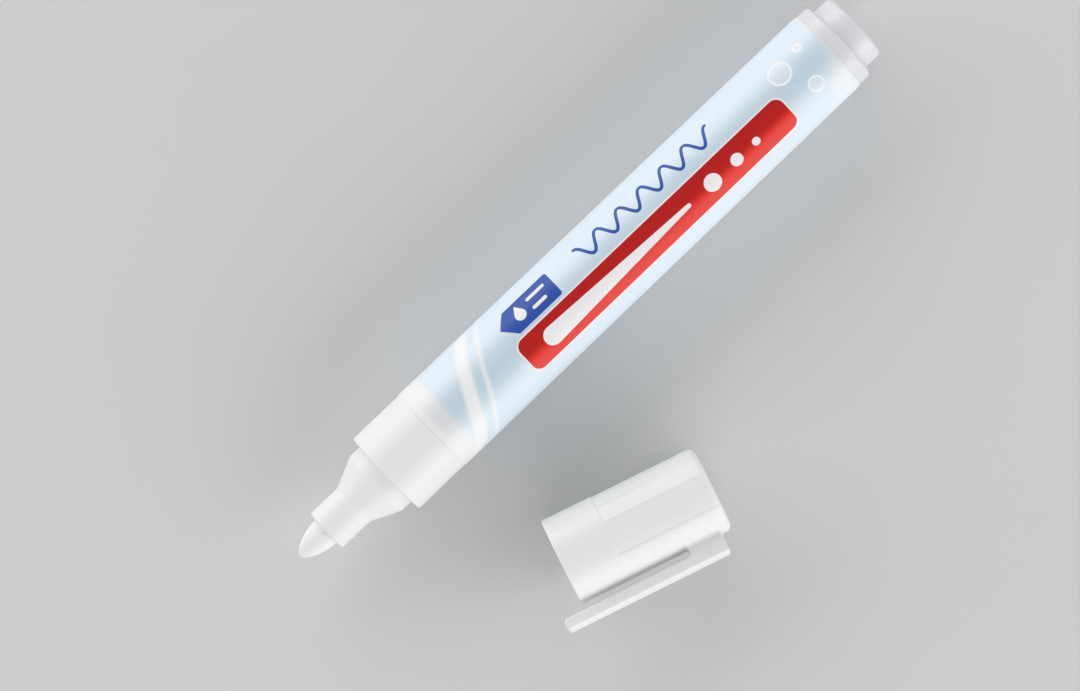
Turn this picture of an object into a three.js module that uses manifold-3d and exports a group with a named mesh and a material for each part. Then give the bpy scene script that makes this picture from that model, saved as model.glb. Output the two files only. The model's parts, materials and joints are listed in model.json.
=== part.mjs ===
// A glass marker lying on a table, with its cap pulled off and laid beside it.
// The marker lies along X with its nib towards -X.
// The cap lies on its -Y side, turned a little, its mouth towards -X.
// The origin is at the middle of the layout, on the table.
import * as THREE from "three";
import { mergeVertices } from "three/addons/utils/BufferGeometryUtils.js";
import Module from "manifold-3d";

const wasm = await Module();
wasm.setup();

// Sizes are in millimetres and angles in degrees.

// How finely round shapes are cut
const OUTER_SIDES = 48;
const INNER_SIDES = 32;
const REGULATOR_SIDES = 24;
const WICK_SIDES = 16;
const ARC_STEPS = 3;
const NIB_STEPS = 7;

// Clearances
const PRESS_GAP = 0.05; // round a pressed-in piece, on the radius
const FACE_GAP = 0.05; // between faces that butt together
const HINGE_GAP = 0.3; // between the clip and the block that it bends from
const CAP_FIT = 0.1; // between the cap and the collar, on the radius
const PARKED_CAP_FIT = 0.06; // between the cap and the stub at the tail
const INNER_CAP_FIT = 0.08; // between the inner cap and the nozzle
const NIB_ROOM = 5.6; // in front of the nib, inside the closed cap

// Nib and wick
const NIB_RADIUS = 2.65;
const NIB_SHOWN = 6.1; // how far the nib stands out of the nozzle
const NIB_LENGTH = 16;
const NIB_POINT_LENGTH = 6.8;
const NIB_POINT_POWER = 0.6; // bluntness of the bullet point
const NIB_SOCKET_DEPTH = 4;
const WICK_RADIUS = 1.2;
const WICK_IN_TANK = 3; // wick behind the regulator

// Front section: nozzle, cone and collar in sight, a flange in the barrel's mouth, and a skirt inside
const NOZZLE_WALL = 1.17;
const NOZZLE_LENGTH = 6.3;
const NOZZLE_EDGE = 0.3;
const NOZZLE_FILLET = 2.5;
const CONE_LENGTH = 5.1;
const COLLAR_STEP = 0.24; // how far the collar is below the barrel's bore, on the radius
const COLLAR_LENGTH = 2.35;
const COLLAR_FILLET = 1;
const SECTION_FLANGE_HEIGHT = 0.5;
const SECTION_FLANGE_LENGTH = 1.2;
const SKIRT_LENGTH = 23;
const SKIRT_WALL = 0.95;
const HOLLOW_TAPER = 1.5;
const NIB_STOP_LENGTH = 1.2;
const NIB_STOP_ROOM = 0.5; // round the wick where it passes the stop
const AIR_GROOVES = 4;
const AIR_GROOVE_WIDTH = 0.9;
const AIR_GROOVE_DEPTH = 0.35;

// Ink regulator: a finned core round the wick, with a sealing disc towards the ink tank
const CORE_WALL = 0.75;
const FINS = 10;
const FIN_THICKNESS = 0.8;
const FIN_ROOM = 0.15; // between the fins and the skirt
const FIN_SLOT_WIDTH = 0.8;
const SEAL_DISC_LENGTH = 1.5;
const CORE_IN_TANK = 1.5;

// Barrel
const BARREL_LENGTH = 101.95;
const BARREL_BORE_RADIUS = 6.5;
const BARREL_FRONT_WALL = 1.5;
const BARREL_REAR_WALL = 1.22;
const BARREL_EDGE = 0.3;

// Label
const LABEL_FRONT_MARGIN = 10.7; // of bare barrel
const LABEL_REAR_MARGIN = 0.4;
const LABEL_THICKNESS = 0.1;
const LABEL_GAP = 0.02;

// Tail plug
const PLUG_FLANGE_INSET = 0.06; // how far the flange is below the barrel's side
const PLUG_FLANGE_LENGTH = 2.5;
const PLUG_STUB_LENGTH = 3.75;
const PLUG_EDGE = 0.8;
const PLUG_SPIGOT_LENGTH = 10.5;
const PLUG_WALL = 1.1;
const PLUG_END_WALL = 1.6;
const PLUG_BEAD_HEIGHT = 0.15;
const PLUG_BEAD_LENGTH = 1.4;

// Cap
const CAP_WALL = 1.38; // at the rim
const CAP_DRAFT = 0.08; // how much thinner the wall is at the closed end
const CAP_RIM_EDGE = 0.3;
const CAP_END_EDGE = 1.3;
const CAP_END_WALL = 1.5;
const SIDE_PANELS = 3; // recessed panels on each side of the cap
const PANEL_PITCH = 24.2;
const PANEL_DEPTH = 0.1; // at the closed end
const PANEL_LENGTH = 19.2; // from the closed end
const PANEL_RIDGE = 0.4; // between two panels

// Inner cap, which closes round the nozzle
const INNER_CAP_SETBACK = 1.5; // of its mouth from the nozzle's root
const INNER_CAP_WALL = 0.95;
const INNER_CAP_BASE = 1.2;
const INNER_CAP_LEAD_IN = 0.4;

// Clip: a flat arm along the cap, bending from a block at the closed end
const CLIP_WIDTH = 4.6;
const CLIP_THICKNESS = 1.9;
const CLIP_CLEARANCE = 1.47; // between the cap's side and the arm
const CLIP_OVERHANG = 3.9; // past the cap's rim
const CLIP_EDGE = 0.5;
const BLOCK_LENGTH = 6.2;
const BLOCK_END_MARGIN = 2.1;
const BLOCK_ROOT = 0.7; // how deep the block is moulded into the cap's wall

// How the cap lies
const CAP_RIM_X = 30.7; // from the nib's tip
const CAP_RIM_Y = -30.9; // from the marker's axis
const CAP_TURN = -17.3; // of the cap's axis from the marker's, seen from above
const CAP_ROLL = -12.8; // lifts the clip off the table

// Places along the marker's axis, from the nib's tip towards the tail
const nozzleFront = NIB_SHOWN;
const coneFront = nozzleFront + NOZZLE_LENGTH;
const collarFront = coneFront + CONE_LENGTH;
const barrelFront = collarFront + COLLAR_LENGTH;
const barrelRear = barrelFront + BARREL_LENGTH;
const flangeRear = barrelRear + PLUG_FLANGE_LENGTH;
const tailEnd = flangeRear + PLUG_STUB_LENGTH;
const nibStopFront = NIB_LENGTH + FACE_GAP;
const nibStopRear = nibStopFront + NIB_STOP_LENGTH;
const hollowFront = Math.max(nibStopRear, collarFront) + HOLLOW_TAPER;
const sectionFlangeRear = barrelFront + SECTION_FLANGE_LENGTH;
const skirtRear = sectionFlangeRear + SKIRT_LENGTH;
const sealFront = skirtRear + FACE_GAP;
const sealRear = sealFront + SEAL_DISC_LENGTH;
const labelFront = barrelFront + LABEL_FRONT_MARGIN;
const labelRear = barrelRear - LABEL_REAR_MARGIN;

// Radii of the marker's pieces, each from what it fits into or over
const insideBarrel = BARREL_BORE_RADIUS - PRESS_GAP;
const sectionFlangeRadius = BARREL_BORE_RADIUS + SECTION_FLANGE_HEIGHT;
const collarRadius = BARREL_BORE_RADIUS - COLLAR_STEP;
const barrelFrontRadius = BARREL_BORE_RADIUS + BARREL_FRONT_WALL;
const barrelRearRadius = BARREL_BORE_RADIUS + BARREL_REAR_WALL;
const nibBore = NIB_RADIUS + PRESS_GAP;
const wickBore = WICK_RADIUS + PRESS_GAP;
const nozzleRadius = nibBore + NOZZLE_WALL;
const skirtBore = insideBarrel - SKIRT_WALL;

// Places along the cap's axis, from its rim towards its closed end, and radii of its pieces
const capBore = collarRadius + CAP_FIT;
const capRimRadius = capBore + CAP_WALL;
const capEndRadius = capRimRadius - CAP_DRAFT;
const innerCapBore = nozzleRadius + INNER_CAP_FIT;
const innerCapFront = barrelFront - coneFront + INNER_CAP_SETBACK;
const innerCapFloor = barrelFront + NIB_ROOM;
const innerCapRear = innerCapFloor + INNER_CAP_BASE;
const capFloor = innerCapRear + FACE_GAP;
const capEnd = capFloor + CAP_END_WALL;
const blockRear = capEnd - BLOCK_END_MARGIN;
const blockFront = blockRear - BLOCK_LENGTH;
const clipInner = capRimRadius + CLIP_CLEARANCE;
const clipOuter = clipInner + CLIP_THICKNESS;

// The points of an arc that rounds one corner between its neighbours, kept within the shorter side.
function roundedCorner(before, corner, after, radius) {
  const apex = new THREE.Vector2(corner[0], corner[1]);
  const back = new THREE.Vector2(before[0], before[1]).sub(apex);
  const on = new THREE.Vector2(after[0], after[1]).sub(apex);
  const reach = 0.45 * Math.min(back.length(), on.length());
  back.normalize();
  on.normalize();
  const half = Math.acos(THREE.MathUtils.clamp(back.dot(on), -1, 1)) / 2;
  const cut = Math.min(radius / Math.tan(half), reach);
  const inward = back.clone().add(on).normalize();
  const centre = apex.clone().addScaledVector(inward, cut / Math.cos(half));
  const from = apex.clone().addScaledVector(back, cut).sub(centre);
  const to = apex.clone().addScaledVector(on, cut).sub(centre);
  const turn = Math.atan2(from.cross(to), from.dot(to));
  const origin = new THREE.Vector2();
  const points = [];
  for (let i = 0; i <= ARC_STEPS; i++) {
    const point = from.clone().rotateAround(origin, (turn * i) / ARC_STEPS).add(centre);
    points.push([point.x, point.y]);
  }
  return points;
}

// Draws corners [x, y] or [x, y, rounding] as the points of a closed outline.
function outline(corners) {
  return corners.flatMap((corner, i) => {
    if (!corner[2]) return [[corner[0], corner[1]]];
    const before = corners.at(i - 1);
    const after = corners[(i + 1) % corners.length];
    return roundedCorner(before, corner, after, corner[2]);
  });
}

// A solid of revolution about the X axis, from corners [x, radius] or [x, radius, rounding].
function revolved(corners, sides = OUTER_SIDES) {
  const points = outline(corners).map(([x, radius]) => new THREE.Vector2(radius, x));
  const onAxis = points[0].x === 0 && points.at(-1).x === 0;
  if (!onAxis) points.push(points[0].clone());
  if (THREE.ShapeUtils.area(points) < 0) points.reverse();
  return new THREE.LatheGeometry(points, sides).rotateZ(-Math.PI / 2);
}

// A closed geometry as a solid that can be cut and joined, and back.
function solid(geometry) {
  const bare = geometry.clone();
  bare.deleteAttribute("normal");
  bare.deleteAttribute("uv");
  const merged = mergeVertices(bare, 1e-3);
  return new wasm.Manifold(
    new wasm.Mesh({
      numProp: 3,
      vertProperties: new Float32Array(merged.attributes.position.array),
      triVerts: new Uint32Array(merged.index.array),
    }),
  );
}

function geometryOf(body) {
  const mesh = body.getMesh();
  const geometry = new THREE.BufferGeometry();
  geometry.setAttribute("position", new THREE.BufferAttribute(mesh.vertProperties, 3));
  geometry.setIndex(new THREE.BufferAttribute(mesh.triVerts, 1));
  geometry.computeVertexNormals();
  return geometry;
}

// A box along X, between two places and two distances from the axis, centred on Z = 0.
function bar(fromX, toX, fromY, toY, width) {
  const geometry = new THREE.BoxGeometry(toX - fromX, toY - fromY, width);
  return geometry.translate((fromX + toX) / 2, (fromY + toY) / 2, 0);
}

const turnedAboutX = (geometry, degrees) => geometry.rotateX(THREE.MathUtils.degToRad(degrees));

// A bullet point on a rod, with a socket for the wick in its rear end.
function nibGeometry() {
  const socketFront = NIB_LENGTH - NIB_SOCKET_DEPTH;
  const point = [];
  for (let i = 0; i <= NIB_STEPS; i++) {
    const share = (i / NIB_STEPS) ** 2;
    const radius = NIB_RADIUS * (1 - (1 - share) ** 2) ** NIB_POINT_POWER;
    point.push([share * NIB_POINT_LENGTH, radius]);
  }
  return revolved(
    [...point, [NIB_LENGTH, NIB_RADIUS], [NIB_LENGTH, wickBore], [socketFront, wickBore], [socketFront, 0]],
    INNER_SIDES,
  );
}

function wickGeometry() {
  const front = NIB_LENGTH - NIB_SOCKET_DEPTH + FACE_GAP;
  const rear = sealRear + WICK_IN_TANK;
  return revolved([[front, 0], [front, WICK_RADIUS], [rear, WICK_RADIUS], [rear, 0]], WICK_SIDES);
}

// The nozzle's bore holds the nib against a stop, with grooves along it that let air back into the tank.
function frontSectionGeometry() {
  const stopOpening = wickBore + NIB_STOP_ROOM;
  const shell = revolved([
    [nozzleFront, nibBore],
    [nozzleFront, nozzleRadius, NOZZLE_EDGE],
    [coneFront, nozzleRadius, NOZZLE_FILLET],
    [collarFront, collarRadius, COLLAR_FILLET],
    [barrelFront, collarRadius],
    [barrelFront, sectionFlangeRadius],
    [sectionFlangeRear, sectionFlangeRadius],
    [sectionFlangeRear, insideBarrel],
    [skirtRear, insideBarrel],
    [skirtRear, skirtBore],
    [hollowFront, skirtBore],
    [nibStopRear, nibBore],
    [nibStopRear, stopOpening],
    [nibStopFront, stopOpening],
    [nibStopFront, nibBore],
  ]);
  let body = solid(shell);
  for (let i = 0; i < AIR_GROOVES; i++) {
    const groove = bar(nozzleFront - 1, nibStopFront, 0, nibBore + AIR_GROOVE_DEPTH, AIR_GROOVE_WIDTH);
    body = body.subtract(solid(turnedAboutX(groove, (i * 360) / AIR_GROOVES)));
  }
  return geometryOf(body);
}

// Thin fins on a tubular core, slotted along one side so that ink and air can pass,
// and a disc that closes the tank.
function regulatorGeometry() {
  const core = wickBore + CORE_WALL;
  const finRadius = skirtBore - FIN_ROOM;
  const front = hollowFront + FACE_GAP;
  const rear = sealRear + CORE_IN_TANK;
  const pitch = (sealFront - front) / FINS;
  const corners = [[front, wickBore]];
  for (let i = 0; i < FINS; i++) {
    const finFront = front + i * pitch;
    const finRear = finFront + FIN_THICKNESS;
    corners.push([finFront, core], [finFront, finRadius], [finRear, finRadius], [finRear, core]);
  }
  corners.push([sealFront, core], [sealFront, insideBarrel], [sealRear, insideBarrel], [sealRear, core]);
  corners.push([rear, core], [rear, wickBore]);
  const slot = bar(front - 1, sealFront, core, insideBarrel, FIN_SLOT_WIDTH);
  return geometryOf(solid(revolved(corners, REGULATOR_SIDES)).subtract(solid(slot)));
}

// A tapering tube, with a seat in its mouth for the front section's flange.
function barrelGeometry() {
  const seatRadius = sectionFlangeRadius + PRESS_GAP;
  const seatRear = sectionFlangeRear + FACE_GAP;
  return revolved([
    [barrelFront, seatRadius],
    [barrelFront, barrelFrontRadius, BARREL_EDGE],
    [barrelRear, barrelRearRadius],
    [barrelRear, BARREL_BORE_RADIUS],
    [seatRear, BARREL_BORE_RADIUS],
    [seatRear, seatRadius],
  ]);
}

// The inside of the label follows the barrel's taper.
function labelInnerRadius(x) {
  const { mapLinear } = THREE.MathUtils;
  return LABEL_GAP + mapLinear(x, barrelFront, barrelRear, barrelFrontRadius, barrelRearRadius);
}

function labelGeometry() {
  return revolved([
    [labelFront, labelInnerRadius(labelFront)],
    [labelFront, labelInnerRadius(labelFront) + LABEL_THICKNESS],
    [labelRear, labelInnerRadius(labelRear) + LABEL_THICKNESS],
    [labelRear, labelInnerRadius(labelRear)],
  ]);
}

// A hollow plug: a spigot with two sealing beads, a flange on the barrel's end,
// and the stub that the cap is parked on.
function tailPlugGeometry() {
  const stubRadius = capBore - PARKED_CAP_FIT;
  const flangeRadius = barrelRearRadius - PLUG_FLANGE_INSET;
  const flangeFront = barrelRear + FACE_GAP;
  const neck = insideBarrel - PLUG_BEAD_HEIGHT;
  const hollow = Math.min(neck, stubRadius) - PLUG_WALL;
  const hollowRear = tailEnd - PLUG_END_WALL;
  const spigotFront = barrelRear - PLUG_SPIGOT_LENGTH;
  const beadSpacing = PLUG_SPIGOT_LENGTH / 3;
  const beads = [2, 1].flatMap((i) => {
    const front = spigotFront + i * beadSpacing;
    const rear = front + PLUG_BEAD_LENGTH;
    return [[rear, neck], [rear, insideBarrel], [front, insideBarrel], [front, neck]];
  });
  return revolved([
    [tailEnd, 0],
    [tailEnd, stubRadius, PLUG_EDGE],
    [flangeRear, stubRadius],
    [flangeRear, flangeRadius, PLUG_EDGE],
    [flangeFront, flangeRadius],
    [flangeFront, neck],
    ...beads,
    [spigotFront, neck],
    [spigotFront, hollow],
    [hollowRear, hollow],
    [hollowRear, 0],
  ]);
}

// A cutter for a shallow panel in the cap's wall, concentric with it. Its angles go from -Z towards +Y.
function panelCutter(middle, width) {
  const start = THREE.MathUtils.degToRad(middle - width / 2);
  const end = THREE.MathUtils.degToRad(middle + width / 2);
  const ring = new THREE.Shape();
  ring.absarc(0, 0, capRimRadius + 1, start, end, false);
  ring.absarc(0, 0, capEndRadius - PANEL_DEPTH, end, start, true);
  const cutter = new THREE.ExtrudeGeometry(ring, {
    depth: PANEL_LENGTH + 1,
    bevelEnabled: false,
    curveSegments: Math.ceil((width * OUTER_SIDES) / 720),
  });
  return cutter.rotateY(Math.PI / 2).translate(capEnd - PANEL_LENGTH, 0, 0);
}

// Each side of the cap has a group of narrow panels, and the side away from the clip has one wide panel.
function panelCutters() {
  const ridge = THREE.MathUtils.radToDeg(PANEL_RIDGE / capEndRadius);
  const cutters = [panelCutter(90, 180 - SIDE_PANELS * PANEL_PITCH - ridge)];
  for (const side of [0, 180]) {
    for (let i = 0; i < SIDE_PANELS; i++) {
      const middle = side + (i - (SIDE_PANELS - 1) / 2) * PANEL_PITCH;
      cutters.push(panelCutter(middle, PANEL_PITCH - ridge));
    }
  }
  return cutters;
}

// The cup of the cap with its panels, and on its -Y side the block that the clip bends from.
function capShellGeometry() {
  const cup = revolved([
    [capEnd, 0],
    [capEnd, capEndRadius, CAP_END_EDGE],
    [0, capRimRadius, CAP_RIM_EDGE],
    [0, capBore, CAP_RIM_EDGE],
    [capFloor, capBore],
    [capFloor, 0],
  ]);
  let body = solid(cup);
  for (const cutter of panelCutters()) body = body.subtract(solid(cutter));
  const block = bar(blockFront, blockRear, -clipOuter, BLOCK_ROOT - capEndRadius, CLIP_WIDTH);
  return geometryOf(body.add(solid(block)));
}

// A cup that closes round the nozzle, with a flange pressed into the closed end of the cap.
function innerCapGeometry() {
  const flangeRadius = capBore - PRESS_GAP;
  const outside = innerCapBore + INNER_CAP_WALL;
  return revolved(
    [
      [innerCapRear, 0],
      [innerCapRear, flangeRadius],
      [innerCapFloor, flangeRadius],
      [innerCapFloor, outside],
      [innerCapFront, outside],
      [innerCapFront, innerCapBore + INNER_CAP_LEAD_IN],
      [innerCapFront + INNER_CAP_LEAD_IN, innerCapBore],
      [innerCapFloor, innerCapBore],
      [innerCapFloor, 0],
    ],
    INNER_SIDES,
  );
}

// The arm's side view is drawn in X and Y, then given its width along Z.
function clipGeometry() {
  const root = blockFront - HINGE_GAP;
  const drawn = outline([
    [root, -clipOuter],
    [root, -clipInner],
    [-CLIP_OVERHANG, -clipInner, 2 * CLIP_EDGE],
    [-CLIP_OVERHANG, -clipOuter, CLIP_EDGE],
  ]);
  const side = new THREE.Shape(drawn.map(([x, y]) => new THREE.Vector2(x, y)));
  const arm = new THREE.ExtrudeGeometry(side, { depth: CLIP_WIDTH, bevelEnabled: false });
  return arm.translate(0, 0, -CLIP_WIDTH / 2);
}

const WHITE_PLASTIC = { color: 0xefefec, roughness: 0.35, metalness: 0 };
const NATURAL_PLASTIC = { color: 0xe3e4e8, roughness: 0.4, metalness: 0 };
const GREY_PLASTIC = { color: 0xc9cbcd, roughness: 0.5, metalness: 0 };
const LABEL_FILM = { color: 0xd3e6f0, roughness: 0.25, metalness: 0 };
const FIBRE = { color: 0xe8e8e8, roughness: 0.9, metalness: 0 };

function piece(name, geometry, finish) {
  const mesh = new THREE.Mesh(geometry, new THREE.MeshStandardMaterial(finish));
  mesh.name = name;
  return mesh;
}

// The marker's pieces share its axis, with the nib's tip at X = 0. It rests on its label.
function makeMarker() {
  const marker = new THREE.Group();
  marker.add(piece("nib", nibGeometry(), FIBRE));
  marker.add(piece("feed_wick", wickGeometry(), FIBRE));
  marker.add(piece("ink_regulator", regulatorGeometry(), GREY_PLASTIC));
  marker.add(piece("front_section", frontSectionGeometry(), WHITE_PLASTIC));
  marker.add(piece("barrel", barrelGeometry(), WHITE_PLASTIC));
  marker.add(piece("label_wrap", labelGeometry(), LABEL_FILM));
  marker.add(piece("tail_plug", tailPlugGeometry(), NATURAL_PLASTIC));
  marker.position.z = labelInnerRadius(labelFront) + LABEL_THICKNESS;
  return marker;
}

// The cap's pieces share its axis, with the rim at X = 0. It rests on its rim.
function makeCap() {
  const rolled = new THREE.Group();
  rolled.add(piece("cap_shell", capShellGeometry(), WHITE_PLASTIC));
  rolled.add(piece("inner_cap", innerCapGeometry(), NATURAL_PLASTIC));
  rolled.add(piece("cap_clip", clipGeometry(), WHITE_PLASTIC));
  rolled.rotation.x = THREE.MathUtils.degToRad(CAP_ROLL);
  const cap = new THREE.Group();
  cap.add(rolled);
  cap.rotation.z = THREE.MathUtils.degToRad(CAP_TURN);
  cap.position.set(CAP_RIM_X, CAP_RIM_Y, capRimRadius);
  return cap;
}

const layout = new THREE.Group();
layout.add(makeMarker(), makeCap());

// The origin goes to the middle of the layout, at table height.
const extent = new THREE.Box3().setFromObject(layout, true);
const middle = extent.getCenter(new THREE.Vector3());
layout.position.set(-middle.x, -middle.y, -extent.min.z);

export default new THREE.Group().add(layout);
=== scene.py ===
import cmath
import json
import math

import bmesh
import bpy
from mathutils import Matrix, Vector, noise


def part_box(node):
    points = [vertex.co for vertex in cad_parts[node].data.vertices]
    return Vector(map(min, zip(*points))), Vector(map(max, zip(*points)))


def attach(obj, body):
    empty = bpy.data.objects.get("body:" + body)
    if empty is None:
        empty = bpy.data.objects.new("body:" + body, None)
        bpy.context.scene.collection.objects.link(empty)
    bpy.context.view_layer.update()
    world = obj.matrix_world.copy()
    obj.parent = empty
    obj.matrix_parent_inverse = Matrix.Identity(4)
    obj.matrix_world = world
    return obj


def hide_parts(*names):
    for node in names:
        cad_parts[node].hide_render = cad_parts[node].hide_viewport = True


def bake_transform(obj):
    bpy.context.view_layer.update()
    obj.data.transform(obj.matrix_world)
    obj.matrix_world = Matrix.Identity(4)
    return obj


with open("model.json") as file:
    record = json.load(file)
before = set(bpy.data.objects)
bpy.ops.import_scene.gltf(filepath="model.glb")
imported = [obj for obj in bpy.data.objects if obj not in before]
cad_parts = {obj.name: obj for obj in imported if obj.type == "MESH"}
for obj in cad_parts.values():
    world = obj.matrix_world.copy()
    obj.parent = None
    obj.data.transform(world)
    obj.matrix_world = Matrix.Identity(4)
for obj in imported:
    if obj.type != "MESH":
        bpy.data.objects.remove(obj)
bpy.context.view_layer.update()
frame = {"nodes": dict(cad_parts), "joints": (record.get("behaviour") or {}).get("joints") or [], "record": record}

MM = 0.001

# How finely shapes are drawn
SIDES = 144
ARC_STEPS = 8  # in a rounded corner
SUPPORT = 0.06  # from a corner to the ring that keeps the stretch beside it straight
LONGEST_STRETCH = 3.0
LARGEST_CUT = 0.45  # that a rounding may take of the shorter stretch beside it
CREASE = math.radians(24)  # a sharper fold than this is shaded as an edge
WELD_DISTANCE = 0.0001  # vertices closer than this become one

# Small roundings and gaps that several pieces share
CRISP_EDGE = 0.04
FINE_EDGE = 0.08
SMALL_EDGE = 0.12
SOFT_EDGE = 0.3
FACE_GAP = 0.05  # between faces that butt together

# Nib
NIB_POINT_LENGTH = 6.8
NIB_POINT_POWER = 0.6  # bluntness of the bullet point
NIB_POINT_STEPS = 26
NIB_SOCKET_DEPTH = 4.0
NIB_SOCKET_RADIUS = 1.25
NIB_REAR_EDGE = 0.2
FIBRE_RELIEF = 0.018
FIBRE_SIZE = 0.22  # across the nib
FIBRE_SQUEEZE = 0.5  # of places along the nib, which draws the fibres out
RELIEF_START = 0.6  # distance from the axis at which the relief has its full depth
RELIEF_SLIDE = 0.4  # how far a sunk place also moves back, as a share of its depth

# Front section
NOZZLE_RADIUS = 3.87
NOZZLE_BORE = 2.7
NOZZLE_LENGTH = 6.3
NOZZLE_EDGE = 0.3
NOZZLE_FILLET = 2.5
CONE_LENGTH = 5.1
COLLAR_RADIUS = 6.26
COLLAR_FILLET = 1.0
SECTION_FLANGE_LENGTH = 1.2
SKIRT_RADIUS = 6.45
SKIRT_BORE = 5.5
HOLLOW_TAPER = 1.5
NIB_STOP_LENGTH = 1.2
NIB_STOP_OPENING = 1.75
AIR_GROOVES = 4
AIR_GROOVE_WIDTH = 0.9
AIR_GROOVE_RADIUS = 3.05
GROOVE_FLOOR = 0.96  # of a groove's half angle, inside its steep sides
GROOVE_CLEARING = 1.15  # of a groove's half angle, kept free of the even angles

# Barrel, label film and tail plug
BARREL_BORE = 6.5
BARREL_SEAT_RADIUS = 7.05
BARREL_SEAT_LENGTH = 1.25
BARREL_REAR_RADIUS = 7.72
BARREL_EDGE = 0.3
FILM_THICKNESS = 0.048
FILM_GAP = 0.02  # from the barrel to the inner layer where the film overlaps itself
FILM_LAYER = 0.05  # from one layer to the next
FILM_SEAM = math.radians(118)  # from the top towards +Y
FILM_OVERLAP = math.radians(16)
FILM_RAMP = math.radians(9)  # where the film climbs onto its own end
FILM_STEPS = SIDES + 6
PARTING = 0.015  # between the barrel's end and the plug's flange
PLUG_STUB_RADIUS = 6.3
PLUG_STUB_LENGTH = 3.75
PLUG_EDGE = 0.8
PLUG_NECK = 6.15
PLUG_SPIGOT_RADIUS = 6.45
PLUG_HOLLOW = 5.2
PLUG_END_WALL = 1.6
PLUG_BEAD_LENGTH = 1.4
PLUG_BEAD_EDGE = 0.1
GATE_RADIUS = 1.3  # of the small dimple that the mould leaves in the middle of an end
GATE_DEPTH = 0.25
GATE_SLOPE = 0.25  # how much narrower the dimple's floor is
GATE_FLOOR_EDGE = 0.15

# Cap
CAP_BORE = 6.36
CAP_END_RADIUS = 7.66
CAP_RIM_EDGE = 0.3
CAP_END_EDGE = 1.3
CAP_END_WALL = 1.5
SIDE_PANELS = 3  # recessed panels on each side of the cap
PANEL_PITCH = math.radians(24.2)
PANEL_DEPTH = 0.1  # at the closed end
PANEL_LENGTH = 19.2  # from the closed end
PANEL_FRONT = 0.5  # over which a panel's front end runs out
PANEL_STEP = math.radians(2.6)
RIDGE_REACH = 0.4  # half the foot of a rounded ridge
LOW_RIDGE = 0.5  # height of the ridges inside a group, as a share of the outer ones
INNER_CAP_BORE = 3.95
INNER_CAP_OUTSIDE = 4.9
INNER_CAP_BASE = 1.2
INNER_CAP_LEAD_IN = 0.4
INNER_CAP_EDGE = 0.15
INNER_CAP_MOUTH_EDGE = 0.2
LEAD_IN_EDGE = 0.1

# Clip
CLIP_TIP_ROUNDING = 1.0
CLIP_CORNER = 0.5
CLIP_EDGE = 0.35
CLIP_SLOT_ROUNDING = 0.7
BLOCK_END_MARGIN = 2.1
BLOCK_LENGTH = 6.2
BLOCK_ROOT = 1.0  # how deep the block is moulded into the cap's wall
BLOCK_FILLET = 0.65
FILLET_OVERLAP = 0.2  # of the fillet with the block
FILLET_SINK = 0.3  # of the fillet in the cap's wall


def axis_place(origin, along, side):
    """Turns millimetres along an axis, with its third axis towards side, into the row frame."""
    x, z = Vector(along).normalized(), Vector(side).normalized()
    turn = Matrix((x, z.cross(x), z)).transposed().to_4x4()
    return Matrix.Translation(origin) @ turn @ Matrix.Scale(MM, 4)


def extent(node, place):
    """Lowest and highest corner of a CAD node, in millimetres along the axes of a place."""
    back = place.inverted()
    points = [back @ vertex.co for vertex in frame["nodes"][node].data.vertices]
    return Vector(map(min, *points)), Vector(map(max, *points))


def named(rows, name):
    return next(row for row in rows if row["name"] == name)


barrel_low, barrel_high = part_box("barrel")
marker_middle = (barrel_low + barrel_high) / 2
nib_tip = Vector((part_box("nib")[0].x, marker_middle.y, marker_middle.z))
marker_place = axis_place(nib_tip, (1, 0, 0), (0, 0, 1))

clip_flex = named(frame["joints"], "clip_flex")
cap_slide = named(frame["joints"], "cap_slide")
cap_end_mount = named(frame["record"]["mounts"], "cap_end")
closed_end_place = axis_place(cap_end_mount["pos_m"], cap_slide["axis"], clip_flex["axis"])
rim_behind_end = extent("cap_shell", closed_end_place)[0].x
cap_place = closed_end_place @ Matrix.Translation((rim_behind_end, 0, 0))


# Drawing outlines, whose points are complex numbers: the place along the axis and the distance from it

def corner_arc(before, corner, after, rounding):
    """The points of the arc that rounds a corner between its neighbours."""
    back, on = before - corner, after - corner
    reach = LARGEST_CUT * min(abs(back), abs(on))
    back /= abs(back)
    on /= abs(on)
    half = abs(cmath.phase(on / back)) / 2
    cut = min(rounding / math.tan(half), reach)
    centre = corner + (back + on) / abs(back + on) * cut / math.cos(half)
    start = corner + back * cut - centre
    turn = cmath.phase((corner + on * cut - centre) / start)
    return [centre + start * cmath.rect(1, turn * i / ARC_STEPS) for i in range(ARC_STEPS + 1)]


def stretch(start, end):
    """Points inside a straight stretch: one close to each end, and the rest evenly spread."""
    length = abs(end - start)
    if length < 4 * SUPPORT:
        return []
    steps = math.ceil(length / LONGEST_STRETCH)
    shares = [SUPPORT / length, *(i / steps for i in range(1, steps)), 1 - SUPPORT / length]
    return [start + (end - start) * share for share in shares]


def outline(corners):
    """The points of an outline from corners (x, y) or (x, y, rounding).

    It is closed unless it starts and ends on the axis.
    """
    points = [complex(*corner[:2]) for corner in corners]
    on_axis = corners[0][1] == 0 and corners[-1][1] == 0
    arcs = []
    for i, corner in enumerate(corners):
        if len(corner) == 3:
            after = points[(i + 1) % len(points)]
            arcs.append(corner_arc(points[i - 1], points[i], after, corner[2]))
        else:
            arcs.append([points[i]])
    drawn = []
    for i, arc in enumerate(arcs):
        drawn += arc
        if not (on_axis and i == len(arcs) - 1):
            drawn += stretch(arc[-1], arcs[(i + 1) % len(arcs)][0])
    return drawn


def even_angles(count=SIDES):
    return [2 * math.pi * i / count for i in range(count)]


# Making meshes

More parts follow.
